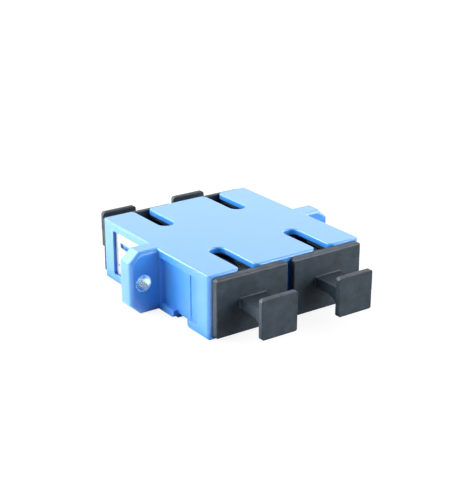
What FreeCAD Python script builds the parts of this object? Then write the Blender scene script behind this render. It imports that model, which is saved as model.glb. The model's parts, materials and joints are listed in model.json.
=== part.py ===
import FreeCAD, Part
import math
import os

# Duplex fibre optic adapter for square push-pull plugs, with four dust caps.
# Origin: centre of the body's underside. +X right, -Y front, +Z up. Millimetres.
# Each half of the adapter is drawn once, facing -Y, and the rear half is the same
# half turned by 180 degrees about Z.

V = FreeCAD.Vector
UP = V(0, 0, 1)
PAST = 1.0  # how far a cutting tool runs past the face that it opens

# Plug and port
plug_width = 8.99
plug_height = 7.39
plug_clearance = 0.105  # each side, across the plug's width
plug_clearance_high = 0.055  # above and below the plug
port_lead_in = 0.3

# Body
wall = 0.825  # above and below the ports
side_wall = 1.75
port_web = 3.5  # between the two ports
web_pocket_width = 2.0  # pocket that cores out the web
web_pocket_end = 2.8  # from the mid plane
half_depth = 13.85
end_corner_radius = 0.7
long_edge_radius = 0.28

# Flange
flange_half_thickness = 1.5
ear_reach = 4.5
ear_chamfer_x = 1.6
ear_chamfer_z = 1.45
ear_edge_radius = 0.6
screw_inset = 2.05  # from the ear's outer face to the screw's axis

# Key slots in the top wall
key_slot_width = 2.45
key_slot_end = 5.55  # from the mid plane to the round end
key_slot_mouth_radius = 1.0

# Side recesses and the channel that takes the clip's strip
recess_depth = 0.7
recess_rim = 0.45  # between the flange and the recess
recess_end = 11.05
recess_margin = 1.2  # above and below the recess
recess_corner_radius = 0.25
channel_start = 5.2
channel_end = 8.6
channel_depth = 0.5
channel_mouth_radius = 0.8
channel_core_radius = 0.4
label_pocket_length = 2.6
label_pocket_depth = 0.1
label_pocket_margin = 0.05  # to the recess edge on three sides

# Threaded inserts
insert_diameter = 2.45
insert_bore = 1.6
insert_mouth = 0.2
insert_clearance = 0.02

# Latch holders
pocket_step = 0.75  # pocket beyond the port on each side
holder_thickness = 1.5
holder_clearance = 0.05
tube_wall = 0.45
lip_thickness = 0.5
lip_cover = 0.25  # how far the lip reaches over the sleeve's end
arm_end = 9.6
arm_thickness = 0.65
arm_height = 3.2
hook_depth = 0.45
hook_flat = 0.3
hook_ramp = 0.7
arm_root_radius = 0.3

# Split sleeves
sleeve_bore = 2.5
sleeve_wall = 0.35
sleeve_length = 11.4
sleeve_slit = 0.5
sleeve_play = 0.05

# Panel clip
clip_sheet = 0.3
clip_bend_radius = 0.3
clip_edge_gap = 0.15  # to the recess walls
clip_channel_gap = 0.15  # to the channel walls
clip_strip_gap = 0.1  # above the strip
clip_corner_radius = 0.3
tongue_bend = 10.25
tongue_root_height = 2.8
tongue_height = 3.0
tongue_length = 6.95
tongue_angle = 7.5
tongue_slot = 0.65
tongue_slot_end = 9.6
tongue_relief_radius = 0.2

# Dust caps
cap_clearance = 0.15
cap_to_arm = 0.25
cap_plate_gap = 1.05  # between neighbouring plates
cap_plate_thickness = 1.0
cap_plate_margin_low = 0.35
cap_plate_margin_high = 0.3
cap_level_edge_radius = 0.4
cap_upright_edge_radius = 0.2
cap_corner_radius = 0.5
skirt_wall = 0.6
skirt_length = 5.8
skirt_corner_radius = 0.5
skirt_relief_width = 3.4
stem_width = 4.2
stem_height = 1.45
stem_top = 0.85  # above the port's axis
stem_root_radius = 0.15
stem_flat = 2.4
tab_reach = 5.95  # from the plate's outer face to the tab's outer face
tab_thickness = 0.75
tab_width = 5.9
tab_height = 5.8
tab_rise = 2.9  # from the port's axis to the tab's top
tab_corner_radius = 0.65
tab_edge_radius = 0.2
parting_step = 0.12
parting_drop = 0.08

# Worked out from the sizes above
port_width = plug_width + 2 * plug_clearance
port_height = plug_height + 2 * plug_clearance_high
port_pitch = port_width + port_web
port_x = port_pitch / 2
body_width = 2 * port_width + port_web + 2 * side_wall
body_height = port_height + 2 * wall
axis_z = body_height / 2
half_width = body_width / 2
ear_end = half_width + ear_reach
screw_x = ear_end - screw_inset
recess_start = flange_half_thickness + recess_rim
recess_floor = half_width - recess_depth
recess_top = body_height - recess_margin
sleeve_radius = sleeve_bore / 2 + sleeve_wall
tube_bore_radius = sleeve_radius + sleeve_play
tube_end = sleeve_length / 2 + sleeve_play + lip_thickness
cap_plate_width = port_pitch - cap_plate_gap
skirt_half_width = port_width / 2 - cap_clearance
skirt_half_height = port_height / 2 - cap_clearance
arm_outer = skirt_half_width - skirt_wall - cap_to_arm


def block(x0, x1, y0, y1, z0, z1):
    """Box between two corners."""
    return Part.makeBox(x1 - x0, y1 - y0, z1 - z0, V(x0, y0, z0))


def outline(place, start, *steps):
    """Closed face in the plane that place() gives.

    A step is a point for a straight run, or a pair of points, middle and end, for an arc.
    """
    edges = []
    here = place(*start)
    for step in steps + (start,):
        if isinstance(step[0], tuple):
            middle, end = place(*step[0]), place(*step[1])
            edges.append(Part.Arc(here, middle, end).toShape())
        else:
            end = place(*step)
            edges.append(Part.LineSegment(here, end).toShape())
        here = end
    return Part.Face(Part.Wire(edges))


def on_plan(x, y):
    return V(x, y, 0)


def on_end(x, z):
    return V(x, 0, z)


def on_side(y, z):
    return V(0, y, z)


def eighth(centre, radius, right, up):
    """Middle of a quarter arc about centre, on the side given by the signs."""
    reach = radius * math.sqrt(0.5)
    return (centre[0] + right * reach, centre[1] + up * reach)


def runs_along(edge, axis):
    """True for a straight edge parallel to the axis."""
    way = edge.Vertexes[-1].Point - edge.Vertexes[0].Point
    return way.Length > 1e-6 and abs(way.dot(axis)) > 0.999 * way.Length


def round_edges(solid, radius, wanted):
    """Round the edges that wanted(edge) picks."""
    return solid.makeFillet(radius, [edge for edge in solid.Edges if wanted(edge)])


def turned(solid):
    """The same piece on the other half of the adapter."""
    return solid.rotated(V(0, 0, 0), UP, 180)


def mirrored_pair(solid):
    """The solid and its mirror image on the other side of the mid plane x = 0."""
    return [solid, solid.mirror(V(0, 0, 0), V(1, 0, 0))]


def soft_block(corners, radii, sharp_y=None):
    """Box with round edges; the radii are those of the edges along X, Y and Z.

    Edges in the plane y = sharp_y stay sharp. Each direction is rounded on a box of its own
    and the boxes are crossed, so the corners are plain mitres.
    """
    solid = block(*corners)
    for axis, radius in zip((V(1, 0, 0), V(0, 1, 0), UP), radii):

        def wanted(edge):
            in_joint = sharp_y is not None and abs(edge.CenterOfMass.y - sharp_y) < 1e-6
            return runs_along(edge, axis) and not in_joint

        solid = solid.common(round_edges(block(*corners), radius, wanted))
    return solid


def body_block():
    """Half of the body, with round end corners and round long edges."""
    corners = (-half_width, half_width, -half_depth, 0, 0, body_height)
    return soft_block(corners, (long_edge_radius, long_edge_radius, end_corner_radius), 0)


def flange_block():
    """Half of the flange: flush with the body above and below, with cut outer corners."""
    shoulder = ear_end - ear_chamfer_x
    low, high = ear_chamfer_z, body_height - ear_chamfer_z
    face = outline(
        on_end,
        (-shoulder, 0),
        (shoulder, 0),
        (ear_end, low),
        (ear_end, high),
        (shoulder, body_height),
        (-shoulder, body_height),
        (-ear_end, high),
        (-ear_end, low),
    )
    solid = face.extrude(V(0, -flange_half_thickness, 0))

    def front_edge(edge):
        return edge.CenterOfMass.y < -flange_half_thickness + 1e-6

    return round_edges(solid, ear_edge_radius, front_edge)


def port_cut(x):
    """Port through the half, its lead-in, its key slot and the pocket of the latch holder."""
    wide, high = port_width / 2, port_height / 2
    port = block(x - wide, x + wide, -half_depth - PAST, PAST, axis_z - high, axis_z + high)
    mouths = []
    for grow, y in ((port_lead_in + PAST, -half_depth - PAST), (0, -half_depth + port_lead_in)):
        corners = [
            V(x - wide - grow, y, axis_z - high - grow),
            V(x + wide + grow, y, axis_z - high - grow),
            V(x + wide + grow, y, axis_z + high + grow),
            V(x - wide - grow, y, axis_z + high + grow),
        ]
        mouths.append(Part.makePolygon(corners + corners[:1]))
    lead_in = Part.makeLoft(mouths, True)
    pocket_wide = wide + pocket_step
    pocket_deep = holder_thickness + holder_clearance
    pocket = block(
        x - pocket_wide, x + pocket_wide, -pocket_deep, PAST, axis_z - high, axis_z + high
    )
    return port.multiFuse([lead_in, pocket, key_slot_cut(x)])


def key_slot_cut(x):
    """Slot through the top wall, round at its inner end and flared at the mouth."""
    r, flare = key_slot_width / 2, key_slot_mouth_radius
    inner = -key_slot_end - r
    neck = -half_depth + flare
    plan = outline(
        on_plan,
        (x - r - flare, -half_depth - PAST),
        (x - r - flare, -half_depth),
        (eighth((x - r - flare, neck), flare, 1, -1), (x - r, neck)),
        (x - r, inner),
        ((x, -key_slot_end), (x + r, inner)),
        (x + r, neck),
        (eighth((x + r + flare, neck), flare, -1, -1), (x + r + flare, -half_depth)),
        (x + r + flare, -half_depth - PAST),
    )
    solid = plan.extrude(V(0, 0, body_height - axis_z + PAST))
    return solid.translated(V(0, 0, axis_z))


def web_pocket_cut():
    """Pocket in the end face between the two ports, which keeps the wall even."""
    wide, high = web_pocket_width / 2, port_height / 2
    return block(-wide, wide, -half_depth - PAST, -web_pocket_end, axis_z - high, axis_z + high)


def side_recess_cut():
    """Recess in the left side, with the mouth through which the clip's strip comes up."""
    recess = block(
        -half_width - PAST, -recess_floor, -recess_end, -recess_start, recess_margin, recess_top
    )
    recess = round_edges(recess, recess_corner_radius, lambda edge: runs_along(edge, V(1, 0, 0)))
    r = channel_mouth_radius
    near, far = -channel_start, -channel_end
    mouth = outline(
        on_side,
        (far, axis_z),
        (far, r),
        (eighth((far - r, r), r, 1, -1), (far - r, 0)),
        (far - r, -PAST),
        (near + r, -PAST),
        (near + r, 0),
        (eighth((near + r, r), r, -1, -1), (near, r)),
        (near, axis_z),
    )
    mouth = mouth.extrude(V(recess_depth + PAST, 0, 0))
    mouth = mouth.translated(V(-half_width - PAST, 0, 0))
    return recess.fuse(mouth)


def strip_channel_cut():
    """Groove across the underside, going round the two lower corners of the body."""
    y0, y1 = -channel_end, -channel_start
    top = recess_margin + channel_core_radius
    around = block(-half_width - PAST, half_width + PAST, y0, y1, -PAST, top)
    core = block(-recess_floor, recess_floor, y0 - PAST, y1 + PAST, channel_depth, top + PAST)

    def lower_edge(edge):
        return runs_along(edge, V(0, 1, 0)) and edge.CenterOfMass.z < channel_depth + 1e-6

    return around.cut(round_edges(core, channel_core_radius, lower_edge))


def label_pocket_cut():
    """Shallow pocket at the end of the left recess, left bare."""
    outer = -recess_end + label_pocket_margin
    low = recess_margin + label_pocket_margin
    high = recess_top - label_pocket_margin
    deep = recess_floor - label_pocket_depth
    return block(-half_width, -deep, outer, outer + label_pocket_length, low, high)


def housing_half():
    """One moulded half of the housing, open at both ends."""
    solid = body_block().fuse(flange_block())
    tools = [port_cut(-port_x), port_cut(port_x), web_pocket_cut()]
    tools += [strip_channel_cut(), label_pocket_cut()]
    tools += mirrored_pair(side_recess_cut())
    hole_radius = insert_diameter / 2 + insert_clearance
    for x in (-screw_x, screw_x):
        start = V(x, -flange_half_thickness - PAST, axis_z)
        tools.append(Part.makeCylinder(hole_radius, flange_half_thickness + 2 * PAST, start, V(0, 1, 0)))
    return solid.cut(Part.makeCompound(tools)).removeSplitter()


def threaded_insert(x):
    """Metal bush through both halves of the flange, with a chamfered mouth at each end."""
    outer, bore = insert_diameter / 2, insert_bore / 2
    reach = flange_half_thickness
    section = outline(
        on_plan,
        (bore + insert_mouth, -reach),
        (outer, -reach),
        (outer, reach),
        (bore + insert_mouth, reach),
        (bore, reach - insert_mouth),
        (bore, -reach + insert_mouth),
    )
    solid = section.revolve(V(0, 0, 0), V(0, 1, 0), 360)
    return solid.translated(V(x, 0, axis_z))


def latch_arm():
    """Spring arm right of the port's axis, with a hook that faces the axis."""
    inner = arm_outer - arm_thickness
    tip = inner - hook_depth
    crest = -arm_end + hook_flat + hook_ramp
    plan = outline(
        on_plan,
        (inner, -holder_thickness / 2),
        (inner, crest),
        (tip, crest),
        (tip, crest - hook_flat),
        (inner, -arm_end),
        (arm_outer, -arm_end),
        (arm_outer, -holder_thickness / 2),
    )
    return plan.extrude(V(0, 0, arm_height)).translated(V(0, 0, -arm_height / 2))


def latch_holder(x):
    """Plate in the mid-plane pocket, with half of the sleeve's tube and two latch arms."""
    wide = port_width / 2 + pocket_step - holder_clearance
    high = port_height / 2 - holder_clearance
    front = V(0, -1, 0)
    tube_outer = tube_bore_radius + tube_wall
    solid = block(-wide, wide, -holder_thickness, 0, -high, high)
    solid = solid.multiFuse(
        [Part.makeCylinder(tube_outer, tube_end, V(0, 0, 0), front)] + mirrored_pair(latch_arm())
    )

    def arm_root(edge):
        middle = edge.CenterOfMass
        at_plate = abs(middle.y + holder_thickness) < 1e-6
        return at_plate and runs_along(edge, UP) and abs(middle.x) < arm_outer + 1e-6

    solid = round_edges(solid.removeSplitter(), arm_root_radius, arm_root)
    seat = Part.makeCylinder(tube_bore_radius, tube_end - lip_thickness + PAST, V(0, PAST, 0), front)
    lip_bore = sleeve_radius - lip_cover
    bore = Part.makeCylinder(lip_bore, tube_end + PAST, V(0, 0, 0), front)
    return solid.cut(seat.fuse(bore)).translated(V(x, 0, axis_z))


def split_sleeve(x):
    """Ceramic tube with one slit along it, which lines up the two ferrules."""
    along = V(0, 1, 0)
    start = V(0, -sleeve_length / 2, 0)
    tube = Part.makeCylinder(sleeve_radius, sleeve_length, start, along)
    bore = Part.makeCylinder(sleeve_bore / 2, sleeve_length, start, along)
    slit = block(
        -sleeve_slit / 2, sleeve_slit / 2, -sleeve_length, sleeve_length, 0, sleeve_radius + PAST
    )
    return tube.cut(bore.fuse(slit)).translated(V(x, 0, axis_z))


def clip_tongue_tools():
    """Window in the left leg of the clip and the tongue that is bent out of it."""
    low = tongue_root_height
    high = low + tongue_height
    free = tongue_bend - tongue_length
    x0, x1 = -recess_floor - clip_sheet, -recess_floor
    window = block(x0 - PAST, x1 + PAST, free - tongue_slot, tongue_bend, low, high)
    slot = block(
        x0 - PAST, x1 + PAST, free - tongue_slot, tongue_slot_end, high - PAST, high + tongue_slot
    )
    relief = Part.makeCylinder(
        tongue_relief_radius, 2 * PAST + clip_sheet, V(x0 - PAST, tongue_bend, low), V(1, 0, 0)
    )
    tongue = block(x0, x1, free, tongue_bend + clip_sheet, low, high)
    tongue = round_edges(
        tongue,
        clip_corner_radius,
        lambda edge: runs_along(edge, V(1, 0, 0)) and edge.CenterOfMass.y < free + 1e-6,
    )
    tongue = tongue.rotated(V(x0, tongue_bend, 0), UP, -tongue_angle)
    return window.multiFuse([slot, relief]), tongue


def panel_clip():
    """Bent sheet spring: a strip under the body and a leg with a sprung tongue on each side."""
    outer_x = recess_floor + clip_sheet
    low = channel_depth - clip_strip_gap - clip_sheet
    y0, y1 = recess_start + clip_edge_gap, recess_end - clip_edge_gap
    top = recess_top - clip_edge_gap

    def lower_edge(edge):
        return runs_along(edge, V(0, 1, 0)) and edge.CenterOfMass.z < channel_depth

    outer = block(-outer_x, outer_x, y0, y1, low, top)
    outer = round_edges(outer, clip_bend_radius + clip_sheet, lower_edge)
    inner = block(
        -recess_floor, recess_floor, y0 - PAST, y1 + PAST, low + clip_sheet, top + PAST
    )
    inner = round_edges(inner, clip_bend_radius, lower_edge)
    shell = outer.cut(inner)
    leg_low = recess_margin + clip_edge_gap
    strip0, strip1 = channel_start + clip_channel_gap, channel_end - clip_channel_gap
    trims = [
        block(-half_width, half_width, y0 - PAST, strip0, -PAST, leg_low),
        block(-half_width, half_width, strip1, y1 + PAST, -PAST, leg_low),
    ]
    solid = shell.cut(Part.makeCompound(trims)).removeSplitter()

    def leg_corner(edge):
        middle = edge.CenterOfMass
        at_end = min(abs(middle.y - y0), abs(middle.y - y1)) < 1e-6
        return at_end and runs_along(edge, V(1, 0, 0))

    solid = round_edges(solid, clip_corner_radius, leg_corner)
    window, tongue = clip_tongue_tools()
    solid = solid.cut(Part.makeCompound(mirrored_pair(window)))
    return solid.multiFuse(mirrored_pair(tongue)).removeSplitter()


def cap_plate():
    """Face plate of a dust cap, with soft edges."""
    wide = cap_plate_width / 2
    low = cap_plate_margin_low - axis_z
    high = body_height - cap_plate_margin_high - axis_z
    outer = -half_depth - cap_plate_thickness
    corners = (-wide, wide, outer, -half_depth, low, high)
    radii = (cap_level_edge_radius, cap_corner_radius, cap_upright_edge_radius)
    return soft_block(corners, radii, -half_depth)


def cap_skirt():
    """Hollow plug behind the plate, open inwards and relieved under the key slot."""
    wide, high = skirt_half_width, skirt_half_height
    tip = -half_depth + skirt_length
    base = -half_depth - cap_plate_thickness / 2
    outer = block(-wide, wide, base, tip, -high, high)
    outer = round_edges(outer, skirt_corner_radius, lambda edge: runs_along(edge, V(0, 1, 0)))
    t = skirt_wall
    hollow = block(-wide + t, wide - t, -half_depth, tip + PAST, -high + t, high - t)
    relief = skirt_relief_width / 2
    gap = block(-relief, relief, -half_depth, tip + PAST, 0, high + PAST)
    return outer.cut(hollow.fuse(gap))


def cap_stem():
    """Flat arm from the plate to the tab, curving down under the tab."""
    root = -half_depth - cap_plate_thickness
    outer = root - tab_reach + tab_thickness / 2
    inner = root - tab_reach + tab_thickness
    top, low = stem_top, stem_top - stem_height
    foot = tab_rise - tab_height + tab_edge_radius
    bend = root - stem_flat
    across, down = bend - inner, low - foot
    radius = (across**2 + down**2) / (2 * down)
    half_turn = math.asin(across / radius) / 2
    middle = (
        bend - radius * math.sin(half_turn),
        low - radius * (1 - math.cos(half_turn)),
    )
    side = outline(
        on_side,
        (root + cap_plate_thickness / 2, top),
        (root + cap_plate_thickness / 2, low),
        (bend, low),
        (middle, (inner, foot)),
        (outer, foot),
        (outer, top),
    )
    return side.extrude(V(stem_width, 0, 0)).translated(V(-stem_width / 2, 0, 0))


def cap_tab():
    """Upright pull tab, with the step that the mould's parting line leaves on one edge."""
    outer = -half_depth - cap_plate_thickness - tab_reach
    half = tab_width / 2
    low, high = tab_rise - tab_height, tab_rise
    corners = (-half, half, outer, outer + tab_thickness, low, high)
    tab = soft_block(corners, (tab_edge_radius, tab_corner_radius, tab_edge_radius))
    step = block(half - parting_step, half + PAST, outer - PAST, outer + PAST, low - PAST, -parting_drop)
    return tab.cut(step)


def dust_cap(x):
    """Dust cap over one port of the front half, moulded in one piece."""
    front = -half_depth - cap_plate_thickness
    solid = cap_plate().multiFuse([cap_skirt(), cap_stem(), cap_tab()]).removeSplitter()

    def stem_root(edge):
        middle = edge.CenterOfMass
        beside_stem = abs(middle.x) < stem_width / 2 + 1e-6
        return abs(middle.y - front) < 1e-6 and beside_stem and abs(middle.z) < stem_height

    solid = round_edges(solid, stem_root_radius, stem_root)
    return solid.translated(V(x, 0, axis_z))


def export(name, solid):
    """Write one piece to its own file and print its volume."""
    if not solid.isValid():
        raise ValueError(name + " isn't a valid solid")
    solid.exportStep("parts/" + name + ".step")
    print(f"{name}: {len(solid.Solids)} solid, {solid.Volume:.2f} mm3")


os.makedirs("parts", exist_ok=True)

half = housing_half()
export("housing_front", half)
export("housing_rear", turned(half))

for side, x in (("left", -port_x), ("right", port_x)):
    export("latch_holder_" + side + "_front", latch_holder(x))
    export("latch_holder_" + side + "_rear", turned(latch_holder(-x)))
    export("dust_cap_" + side + "_front", dust_cap(x))
    export("dust_cap_" + side + "_rear", turned(dust_cap(-x)))
    export("sleeve_" + side, split_sleeve(x))

export("insert_left", threaded_insert(-screw_x))
export("insert_right", threaded_insert(screw_x))
export("panel_clip", panel_clip())
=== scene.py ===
"""Looks of the two-port fibre optic adapter: blue housing, spring clip, bushes and dust caps."""

import json
import math

import bmesh
import bpy
from mathutils import Matrix, Vector


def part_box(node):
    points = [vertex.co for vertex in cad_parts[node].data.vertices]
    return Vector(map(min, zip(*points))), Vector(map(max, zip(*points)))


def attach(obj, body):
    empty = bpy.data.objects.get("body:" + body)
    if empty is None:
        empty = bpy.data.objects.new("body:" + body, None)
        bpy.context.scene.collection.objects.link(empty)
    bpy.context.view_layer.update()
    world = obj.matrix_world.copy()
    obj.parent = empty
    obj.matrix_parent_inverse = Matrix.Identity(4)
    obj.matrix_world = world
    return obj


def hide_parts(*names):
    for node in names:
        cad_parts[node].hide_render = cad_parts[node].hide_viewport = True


MM = 0.001
NOISE_LOW = 0.3  # most of a noise lies between these two
NOISE_HIGH = 0.7

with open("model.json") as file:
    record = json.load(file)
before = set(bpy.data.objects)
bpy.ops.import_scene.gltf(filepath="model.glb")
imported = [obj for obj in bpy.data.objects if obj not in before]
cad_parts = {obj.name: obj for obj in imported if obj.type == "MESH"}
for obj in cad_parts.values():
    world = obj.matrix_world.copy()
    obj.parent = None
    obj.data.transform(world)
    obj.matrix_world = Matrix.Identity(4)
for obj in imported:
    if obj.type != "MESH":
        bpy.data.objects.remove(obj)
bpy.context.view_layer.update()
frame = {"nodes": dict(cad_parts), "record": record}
scene = bpy.context.scene


# Node trees


def add(tree, kind, values=None, **settings):
    """New node with its settings and the values of its inputs."""
    node = tree.nodes.new(kind)
    for name, value in settings.items():
        setattr(node, name, value)
    for name, value in (values or {}).items():
        node.inputs[name].default_value = value
    return node


def join(tree, *pairs):
    """Link each pair of an output and an input."""
    for source, target in pairs:
        tree.links.new(source, target)


def blank_material(name):
    """Material with an output node and nothing else."""
    material = bpy.data.materials.new(name)
    material.use_nodes = True
    tree = material.node_tree
    tree.nodes.clear()
    return material, tree, add(tree, "ShaderNodeOutputMaterial")


def calc(tree, operation, *terms):
    """Result of a maths node; a term is a socket or a number."""
    node = add(tree, "ShaderNodeMath", operation=operation)
    for socket, term in zip(node.inputs, terms):
        if isinstance(term, bpy.types.NodeSocket):
            tree.links.new(term, socket)
        else:
            socket.default_value = term
    return node.outputs[0]


def speckle(tree, place, grain, detail=2.0, roughness=0.5):
    """Noise whose blotches are about grain millimetres across."""
    values = {"Scale": 1 / (grain * MM), "Detail": detail, "Roughness": roughness}
    noise = add(tree, "ShaderNodeTexNoise", values)
    join(tree, (place, noise.inputs["Vector"]))
    return noise.outputs["Fac"]


def spread(tree, value, low, high, start=NOISE_LOW, end=NOISE_HIGH):
    """Map a value from the range start to end onto the range low to high."""
    values = {"From Min": start, "From Max": end, "To Min": low, "To Max": high}
    node = add(tree, "ShaderNodeMapRange", values)
    join(tree, (value, node.inputs["Value"]))
    return node.outputs["Result"]


def tint(tree, value, *stops):
    """Colour ramp through pairs of a place and a colour."""
    ramp = add(tree, "ShaderNodeValToRGB")
    elements = ramp.color_ramp.elements
    elements[0].position, elements[1].position = stops[0][0], stops[-1][0]
    for position, _ in stops[1:-1]:
        elements.new(position)
    for element, (_, colour) in zip(elements, stops):
        element.color = (*colour, 1)
    join(tree, (value, ramp.inputs["Fac"]))
    return ramp.outputs["Color"]


def mottled(tree, noise, dark, light):
    """Colour that a noise moves between a darker and a lighter one."""
    return tint(tree, noise, (NOISE_LOW, dark), (NOISE_HIGH, light))


def relief(tree, height, depth, strength=1.0, under=None):
    """Bump of a depth in millimetres, laid on another one if given."""
    bump = add(tree, "ShaderNodeBump", {"Distance": depth * MM, "Strength": strength})
    join(tree, (height, bump.inputs["Height"]))
    if under:
        join(tree, (under, bump.inputs["Normal"]))
    return bump.outputs["Normal"]


# Finishes

FLOW_LENGTH = 6.0  # millimetres across a flow mark
FLOW_DEPTH = 0.004  # as a share of its length
METAL_RELIEF = 0.002  # millimetres


def moulded_plastic(
    name, colours, gloss, grain, grain_depth, mottle, scuff=2.0, sheen=None, coat=None, **shader
):
    """Moulded plastic: fine grain, faint flow marks, uneven gloss, and a sheen and a coat if given."""
    material, tree, output = blank_material(name)
    place = add(tree, "ShaderNodeTexCoord").outputs["Object"]
    fine = speckle(tree, place, grain, detail=3.0, roughness=0.6)
    blotch = speckle(tree, place, mottle, detail=scuff, roughness=0.6)
    cloud = speckle(tree, place, FLOW_LENGTH, detail=1.0)
    if sheen:
        shader |= dict(zip(("Sheen Weight", "Sheen Roughness", "Sheen Tint"), sheen))
    if coat:
        shader |= dict(zip(("Coat Weight", "Coat Roughness", "Coat IOR"), coat))
    surface = add(tree, "ShaderNodeBsdfPrincipled", shader)
    wave = relief(tree, cloud, FLOW_LENGTH * FLOW_DEPTH, strength=0.5)
    join(
        tree,
        (mottled(tree, blotch, *colours), surface.inputs["Base Color"]),
        (spread(tree, fine, *gloss), surface.inputs["Roughness"]),
        (relief(tree, fine, grain_depth, under=wave), surface.inputs["Normal"]),
        (surface.outputs["BSDF"], output.inputs["Surface"]),
    )
    return material


def rolled_steel():
    """Bright spring steel: rolling lines along Y and faint handling marks."""
    material, tree, output = blank_material("clip_steel")
    place = add(tree, "ShaderNodeTexCoord").outputs["Object"]
    stretch = add(tree, "ShaderNodeMapping", {"Scale": (1.0, 0.04, 1.0)})
    join(tree, (place, stretch.inputs["Vector"]))
    lines = speckle(tree, stretch.outputs["Vector"], 0.07, detail=3.0)
    marks = speckle(tree, place, 1.4, detail=4.0, roughness=0.7)
    surface = add(tree, "ShaderNodeBsdfPrincipled", {"Metallic": 1.0})
    join(
        tree,
        (
            mottled(tree, marks, (0.50, 0.51, 0.51), (0.58, 0.59, 0.58)),
            surface.inputs["Base Color"],
        ),
        (spread(tree, lines, 0.34, 0.50), surface.inputs["Roughness"]),
        (relief(tree, lines, METAL_RELIEF), surface.inputs["Normal"]),
        (surface.outputs["BSDF"], output.inputs["Surface"]),
    )
    return material


def turned_metal():
    """Plated silver bush metal with a fine uneven skin; its pale blue is a painted reflection of the
    blue housing.
    """
    material, tree, output = blank_material("insert_metal")
    place = add(tree, "ShaderNodeTexCoord").outputs["Object"]
    dull = speckle(tree, place, 0.5, detail=4.0, roughness=0.6)
    fine = speckle(tree, place, 0.06, detail=2.0)
    surface = add(tree, "ShaderNodeBsdfPrincipled", {"Metallic": 1.0})
    join(
        tree,
        (
            # Painted reflection: the blue in both colours stands in for the blue housing mirrored in
            # the bush.
            mottled(tree, dull, (0.44, 0.66, 0.86), (0.62, 0.82, 0.96)),
            surface.inputs["Base Color"],
        ),
        (spread(tree, dull, 0.20, 0.36), surface.inputs["Roughness"]),
        (relief(tree, fine, METAL_RELIEF), surface.inputs["Normal"]),
        (surface.outputs["BSDF"], output.inputs["Surface"]),
    )
    return material


FINISHES = {
    "housing_plastic": moulded_plastic(
        "housing_plastic",
        ((0.016, 0.245, 0.75), (0.020, 0.270, 0.80)),
        gloss=(0.30, 0.42),
        grain=0.12,
        grain_depth=0.003,
        mottle=1.8,
        sheen=(0.4, 0.4, (0.85, 0.95, 1.0, 1)),
        coat=(1.0, 0.40, 1.6),
        IOR=1.55,
    ),
    "cap_plastic": moulded_plastic(
        "cap_plastic",
        # Painted light: the blue cast in these dark greys stands in for cool light on the caps; the
        # spread between the two is random tone.
        ((0.014, 0.024, 0.036), (0.038, 0.057, 0.078)),
        gloss=(0.36, 0.58),
        grain=0.22,
        grain_depth=0.022,
        mottle=1.6,
        scuff=6.0,
        IOR=1.47,
    ),
    "holder_plastic": moulded_plastic(
        "holder_plastic",
        ((0.72, 0.68, 0.56), (0.78, 0.74, 0.63)),
        gloss=(0.36, 0.50),
        grain=0.10,
        grain_depth=0.003,
        mottle=1.2,
        IOR=1.5,
    ),
    "sleeve_ceramic": moulded_plastic(
        "sleeve_ceramic",
        ((0.86, 0.85, 0.81), (0.90, 0.89, 0.86)),
        gloss=(0.08, 0.16),
        grain=0.05,
        grain_depth=0.0005,
        mottle=0.8,
        IOR=2.1,
    ),
    "clip_steel": rolled_steel(),
    "insert_metal": turned_metal(),
}


# Pieces, lengths in millimetres

HOUSING_EASE = 0.05
CAP_EASE = 0.04
CLIP_EASE = 0.04
EASE_STEPS = 2
SLOT_RIM = 0.2
RIM_STEPS = 4
TOP_PLANE = 0.01  # an edge less than this below the top lies in it
WELD_ZONE = 1.0  # on each side of the weld at mid-length
RIM_ANGLE = 1.0  # radians between the faces of a rim
MERGE_DISTANCE = 0.0002
FLAT_ANGLE = math.radians(0.4)
EDGE_ANGLE = math.radians(32)


def plain_mesh(piece):
    """Make the result of a piece's modifiers its own mesh."""
    graph = bpy.context.evaluated_depsgraph_get()
    mesh = bpy.data.meshes.new_from_object(piece.evaluated_get(graph))
    piece.modifiers.clear()
    piece.data = mesh


def carry(piece, name, slot, body):
    """Give a finished piece its material and its body, and hide the node that it stands for."""
    piece.data.materials.clear()
    piece.data.materials.append(FINISHES[slot])
    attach(piece, body)
    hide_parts(name)


def round_rims(work, radius):
    """Round the sharp edges in the top plane that are clear of the weld, as key slots have."""
    top = max(vert.co.z for vert in work.verts) - TOP_PLANE * MM
    rims = [
        edge
        for edge in work.edges
        if min(vert.co.z for vert in edge.verts) > top
        and max(abs(vert.co.y) for vert in edge.verts) > WELD_ZONE * MM
        and edge.calc_face_angle(0) > RIM_ANGLE
    ]
    bmesh.ops.bevel(
        work,
        geom=rims,
        offset=radius * MM,
        offset_type="OFFSET",
        segments=RIM_STEPS,
        profile=0.5,
        affect="EDGES",
        clamp_overlap=True,
    )


def eased_copy(name, title, slot, body, edge, rim=0):
    """Piece in place of a node, with its sharp edges eased."""
    mesh = frame["nodes"][name].data.copy()
    work = bmesh.new()
    work.from_mesh(mesh)
    bmesh.ops.remove_doubles(work, verts=work.verts, dist=MERGE_DISTANCE * MM)
    bmesh.ops.dissolve_limit(work, angle_limit=FLAT_ANGLE, verts=work.verts, edges=work.edges)
    if rim:
        round_rims(work, rim)
    work.to_mesh(mesh)
    work.free()
    piece = bpy.data.objects.new(title, mesh)
    scene.collection.objects.link(piece)
    mesh.shade_smooth()
    mesh.set_sharp_from_angle(angle=EDGE_ANGLE)
    ease = piece.modifiers.new("eased_edges", "BEVEL")
    ease.width = edge * MM
    ease.segments = EASE_STEPS
    ease.limit_method = "ANGLE"
    ease.angle_limit = EDGE_ANGLE
    level = piece.modifiers.new("level_faces", "WEIGHTED_NORMAL")
    level.keep_sharp = True
    plain_mesh(piece)
    carry(piece, name, slot, body)


# Threaded bushes, millimetres

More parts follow.
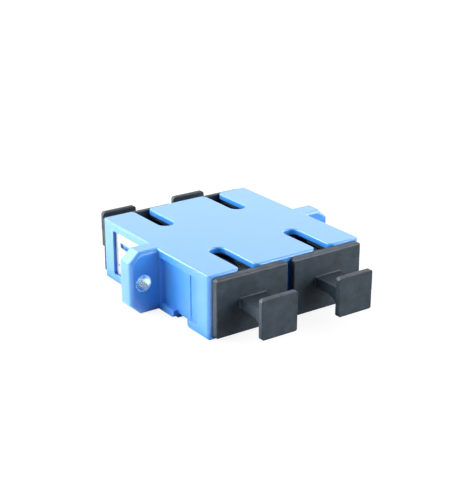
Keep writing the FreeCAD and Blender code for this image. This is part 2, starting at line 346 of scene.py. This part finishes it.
BUSH_OUTER = 1.225
BUSH_LENGTH = 3.0
BUSH_SIDES = 48
THREAD_CREST = 0.8
THREAD_ROOT = 1.0
THREAD_PITCH = 0.4
THREAD_MOUTH = 1.06
FLANK_START = 0.06  # share of the pitch, from the middle of the crest
FLANK_END = 0.44
STEPS_PER_TURN = 12
BORE_MERGE = 0.001
BUSH_ANGLE = math.radians(24)


def bush_jacket():
    """Outer wall and end faces of a bush along Y, open where the bore goes."""
    reach = BUSH_LENGTH / 2
    section = (
        (THREAD_MOUTH, -reach),
        (BUSH_OUTER, -reach),
        (BUSH_OUTER, reach),
        (THREAD_MOUTH, reach),
    )
    points, faces = [], []
    for step in range(BUSH_SIDES):
        turn = 2 * math.pi * step / BUSH_SIDES
        ring, after = step * 4, (step + 1) % BUSH_SIDES * 4
        for radius, y in section:
            points.append((radius * math.cos(turn) * MM, y * MM, radius * math.sin(turn) * MM))
        faces += [(ring + k, ring + k + 1, after + k + 1, after + k) for k in range(3)]
    mesh = bpy.data.meshes.new("bush_jacket")
    mesh.from_pydata(points, [], faces)
    return mesh


def threaded_bore_tree():
    """Tree that adds a bore with a right-hand thread along Y to the jacket it gets."""
    tree = bpy.data.node_groups.new("threaded_bore", "GeometryNodeTree")
    kinds = {
        "Jacket": "NodeSocketGeometry",
        "Crest Radius": "NodeSocketFloat",
        "Root Radius": "NodeSocketFloat",
        "Mouth Radius": "NodeSocketFloat",
        "Pitch": "NodeSocketFloat",
        "Length": "NodeSocketFloat",
        "Sides": "NodeSocketInt",
        "Steps": "NodeSocketInt",
        "Place": "NodeSocketVector",
        "Metal": "NodeSocketMaterial",
    }
    for name, kind in kinds.items():
        tree.interface.new_socket(name, in_out="INPUT", socket_type=kind)
    tree.interface.new_socket("Bush", in_out="OUTPUT", socket_type="NodeSocketGeometry")
    given = add(tree, "NodeGroupInput").outputs

    # A unit sheet, X round the bore and Y along it
    sheet = add(tree, "GeometryNodeMeshGrid", {"Size X": 1.0, "Size Y": 1.0})
    spot = add(tree, "ShaderNodeSeparateXYZ")
    join(
        tree,
        (calc(tree, "ADD", given["Sides"], 1), sheet.inputs["Vertices X"]),
        (calc(tree, "ADD", given["Steps"], 1), sheet.inputs["Vertices Y"]),
        (add(tree, "GeometryNodeInputPosition").outputs[0], spot.inputs[0]),
    )
    angle = calc(tree, "MULTIPLY", spot.outputs["X"], 2 * math.pi)
    along = calc(tree, "MULTIPLY", spot.outputs["Y"], given["Length"])

    # The radius swings between crest and root, with a small flat on each
    phase = calc(tree, "ADD", calc(tree, "DIVIDE", along, given["Pitch"]), spot.outputs["X"])
    flank = add(tree, "ShaderNodeMapRange", {"From Min": FLANK_START, "From Max": FLANK_END})
    cone = calc(
        tree,
        "SUBTRACT",
        given["Mouth Radius"],
        calc(
            tree,
            "SUBTRACT",
            calc(tree, "MULTIPLY", given["Length"], 0.5),
            calc(tree, "ABSOLUTE", along),
        ),
    )
    join(
        tree,
        (calc(tree, "PINGPONG", phase, 0.5), flank.inputs["Value"]),
        (given["Crest Radius"], flank.inputs["To Min"]),
        (given["Root Radius"], flank.inputs["To Max"]),
    )
    radius = calc(tree, "MAXIMUM", flank.outputs["Result"], cone)

    rolled = add(tree, "ShaderNodeCombineXYZ")
    bore = add(tree, "GeometryNodeSetPosition")
    both = add(tree, "GeometryNodeJoinGeometry")
    closed = add(tree, "GeometryNodeMergeByDistance", {"Distance": BORE_MERGE * MM})
    placed = add(tree, "GeometryNodeSetPosition")
    real = add(tree, "GeometryNodeRealizeInstances")
    dressed = add(tree, "GeometryNodeSetMaterial")
    join(
        tree,
        (calc(tree, "MULTIPLY", radius, calc(tree, "COSINE", angle)), rolled.inputs["X"]),
        (along, rolled.inputs["Y"]),
        (calc(tree, "MULTIPLY", radius, calc(tree, "SINE", angle)), rolled.inputs["Z"]),
        (sheet.outputs["Mesh"], bore.inputs["Geometry"]),
        (rolled.outputs[0], bore.inputs["Position"]),
        (given["Jacket"], both.inputs[0]),
        (bore.outputs[0], both.inputs[0]),
        (both.outputs[0], closed.inputs["Geometry"]),
        (closed.outputs[0], placed.inputs["Geometry"]),
        (given["Place"], placed.inputs["Offset"]),
        (placed.outputs[0], real.inputs["Geometry"]),
        (real.outputs[0], dressed.inputs["Geometry"]),
        (given["Metal"], dressed.inputs["Material"]),
        (dressed.outputs[0], add(tree, "NodeGroupOutput").inputs["Bush"]),
    )
    return tree


def threaded_bush(tree, side):
    """Metal bush with its inner thread, in the ear on the given side."""
    node = "insert_" + side
    low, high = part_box(node)
    sizes = {
        "Crest Radius": THREAD_CREST * MM,
        "Root Radius": THREAD_ROOT * MM,
        "Mouth Radius": THREAD_MOUTH * MM,
        "Pitch": THREAD_PITCH * MM,
        "Length": BUSH_LENGTH * MM,
        "Sides": BUSH_SIDES,
        "Steps": round(BUSH_LENGTH / THREAD_PITCH * STEPS_PER_TURN),
        "Place": tuple((a + b) / 2 for a, b in zip(low, high)),
        "Metal": FINISHES["insert_metal"],
    }
    piece = bpy.data.objects.new("threaded_bush_" + side, bush_jacket())
    scene.collection.objects.link(piece)
    winding = piece.modifiers.new("threaded_bore", "NODES")
    winding.node_group = tree
    for socket in tree.interface.items_tree:
        if socket.in_out == "INPUT" and socket.name in sizes:
            winding[socket.identifier] = sizes[socket.name]
    plain_mesh(piece)
    piece.data.shade_smooth()
    piece.data.set_sharp_from_angle(angle=BUSH_ANGLE)
    carry(piece, node, "insert_metal", "adapter")


bore_tree = threaded_bore_tree()
for side in ("left", "right"):
    threaded_bush(bore_tree, side)

for half in ("front", "rear"):
    title = half + "_housing"
    eased_copy("housing_" + half, title, "housing_plastic", "adapter", HOUSING_EASE, SLOT_RIM)
    for side in ("left", "right"):
        node = "dust_cap_" + side + "_" + half
        body = "cap_" + side + "_" + half
        eased_copy(node, body + "_moulding", "cap_plastic", body, CAP_EASE)
eased_copy("panel_clip", "spring_clip", "clip_steel", "adapter", CLIP_EASE)

for name, node in frame["nodes"].items():
    if not node.hide_render:
        row = next(r for r in frame["record"]["subparts"] if r["node"] == name)
        node.data.materials.clear()
        node.data.materials.append(FINISHES[row["material_slot"]])


# Stage, lengths in metres

FLOOR_REACH = 3
FLOOR_BOUNCE = 0.3
FLOOR_SHADOW = 0.18
# Painted reflection: in reflections the floor is painted bright left of BRIGHT_LEFT_OF and dim right
# of DIM_RIGHT_OF.
FLOOR_MIRRORED = 1.55
FLOOR_GLOW = (0.87, 1.0)
GLOW_RANGE = (0.04, 0.20)
BRIGHT_LEFT_OF = -14.5 * MM
DIM_RIGHT_OF = -12.8 * MM
ROOM_MIRRORED = (0.3, 0.92)
ROOM_RANGE = (-0.3, 0.2)
ROOM_FILL = 0.18
LAMP_DISTANCE = 0.5


def grey(level):
    """Neutral colour of a level."""
    return level, level, level


def white_floor():
    """Wide pale floor: white to the camera, matt for the light.

    In reflections its brightness is painted: bright to the left of the object, a painted reflection of
    lit floor, and dim under the object and to its right, a painted shade; the lamps' light and shadow
    still fall on it there.
    """
    material, tree, output = blank_material("floor_white")
    path = add(tree, "ShaderNodeLightPath")
    matt = add(tree, "ShaderNodeBsdfDiffuse", {"Color": (*grey(FLOOR_BOUNCE), 1)})
    faint = add(tree, "ShaderNodeBsdfDiffuse", {"Color": (*grey(FLOOR_SHADOW), 1)})
    glow = add(tree, "ShaderNodeEmission", {"Color": (1, 1, 1, 1)})
    away = add(tree, "ShaderNodeVectorMath", operation="LENGTH")
    white = add(tree, "ShaderNodeAddShader")
    place = add(tree, "ShaderNodeSeparateXYZ")
    spot = add(tree, "ShaderNodeTexCoord").outputs["Object"]
    join(tree, (spot, place.inputs[0]), (spot, away.inputs[0]))
    # Painted reflection and shade: seen in reflections, the floor brightens left of the object and
    # dims under and right of it.
    painted_reflection_share = spread(tree, place.outputs["X"], 1.0, 0.0, BRIGHT_LEFT_OF, DIM_RIGHT_OF)
    bounce = add(tree, "ShaderNodeBsdfDiffuse")
    mirrored = add(tree, "ShaderNodeMixShader")
    seen = add(tree, "ShaderNodeMixShader")
    join(
        tree,
        (
            tint(tree, painted_reflection_share, (0.0, grey(FLOOR_BOUNCE)), (1.0, grey(FLOOR_MIRRORED))),
            bounce.inputs["Color"],
        ),
        (path.outputs["Is Glossy Ray"], mirrored.inputs["Fac"]),
        (matt.outputs[0], mirrored.inputs[1]),
        (bounce.outputs[0], mirrored.inputs[2]),
        (
            spread(tree, away.outputs["Value"], *FLOOR_GLOW, *GLOW_RANGE),
            glow.inputs["Strength"],
        ),
        (faint.outputs[0], white.inputs[0]),
        (glow.outputs[0], white.inputs[1]),
        (path.outputs["Is Camera Ray"], seen.inputs["Fac"]),
        (mirrored.outputs[0], seen.inputs[1]),
        (white.outputs[0], seen.inputs[2]),
        (seen.outputs[0], output.inputs["Surface"]),
    )
    mesh = bpy.data.meshes.new("floor")
    corners = [(x * FLOOR_REACH, y * FLOOR_REACH, 0) for x, y in ((-1, -1), (1, -1), (1, 1), (-1, 1))]
    mesh.from_pydata(corners, [], [(0, 1, 2, 3)])
    floor = bpy.data.objects.new("floor", mesh)
    scene.collection.objects.link(floor)
    mesh.materials.append(material)


def white_room():
    """White backdrop for the camera and a soft fill for the rest, mirrored dimmer from the front."""
    world = bpy.data.worlds.new("white_room")
    world.use_nodes = True
    tree = world.node_tree
    tree.nodes.clear()
    output = add(tree, "ShaderNodeOutputWorld")
    path = add(tree, "ShaderNodeLightPath")
    way = add(tree, "ShaderNodeSeparateXYZ")
    glow = add(tree, "ShaderNodeBackground", {"Color": (1, 1, 1, 1)})
    join(tree, (add(tree, "ShaderNodeTexCoord").outputs["Generated"], way.inputs[0]))
    backdrop = spread(tree, way.outputs["Y"], *ROOM_MIRRORED, *ROOM_RANGE)
    glossy = calc(tree, "MULTIPLY", path.outputs["Is Glossy Ray"], backdrop)
    seen = calc(tree, "MAXIMUM", path.outputs["Is Camera Ray"], glossy)
    through = calc(tree, "MAXIMUM", seen, path.outputs["Is Transmission Ray"])
    join(
        tree,
        (spread(tree, through, ROOM_FILL, 1.0, start=0.0, end=1.0), glow.inputs["Strength"]),
        (glow.outputs[0], output.inputs["Surface"]),
    )
    scene.world = world


def softbox(name, way, width, height, brightness, mirrored=True):
    """Lamp that faces the object from a direction; brightness is that of its face."""
    lamp = bpy.data.lights.new(name, "AREA")
    lamp.shape = "RECTANGLE"
    lamp.size, lamp.size_y = width, height
    lamp.energy = brightness * math.pi * width * height
    holder = bpy.data.objects.new(name, lamp)
    holder.visible_glossy = mirrored
    scene.collection.objects.link(holder)
    way = Vector(way).normalized()
    holder.location = way * LAMP_DISTANCE
    holder.rotation_euler = way.to_track_quat("Z", "Y").to_euler()


def photo_camera():
    """Camera at the photograph's place, its angles in radians."""
    azimuth, elevation, roll = -0.6063, 0.3712, -0.0011
    distance = 170.02 * MM
    target = Vector((-0.534, 0, 5.457)) * MM
    back = Vector(
        (
            math.sin(azimuth) * math.cos(elevation),
            -math.cos(azimuth) * math.cos(elevation),
            math.sin(elevation),
        )
    )
    right = Vector((math.cos(azimuth), math.sin(azimuth), 0))
    up = back.cross(right)
    right, up = (
        math.cos(roll) * right + math.sin(roll) * up,
        math.cos(roll) * up - math.sin(roll) * right,
    )
    data = bpy.data.cameras.new("photo_camera")
    data.sensor_width = 36
    data.lens = 84.195
    data.clip_start, data.clip_end = 0.01, 20
    camera = bpy.data.objects.new("photo_camera", data)
    scene.collection.objects.link(camera)
    turn = Matrix((right, up, back)).transposed().to_4x4()
    camera.matrix_world = Matrix.Translation(target + back * distance) @ turn
    scene.camera = camera


white_floor()
white_room()
softbox("overhead", (0.0, 0.1, 1.0), 0.6, 0.6, 0.25)
softbox("rear_high", (-0.26, 0.766, 0.62), 0.40, 0.26, 3.9)
softbox("rear_left", (-0.85, 0.45, 0.38), 0.40, 0.30, 9.6)
softbox("rear_low", (-0.6, 0.78, 0.12), 0.40, 0.12, 8.5, mirrored=False)
softbox("right", (1.0, 0.1, 0.45), 0.50, 0.40, 2.8)
softbox("front_right", (0.75, -0.65, 0.35), 0.30, 0.30, 3.5)
softbox("front", (0.6, -1.0, 0.3), 0.50, 0.26, 4.8)
photo_camera()

scene.view_settings.view_transform = "Standard"
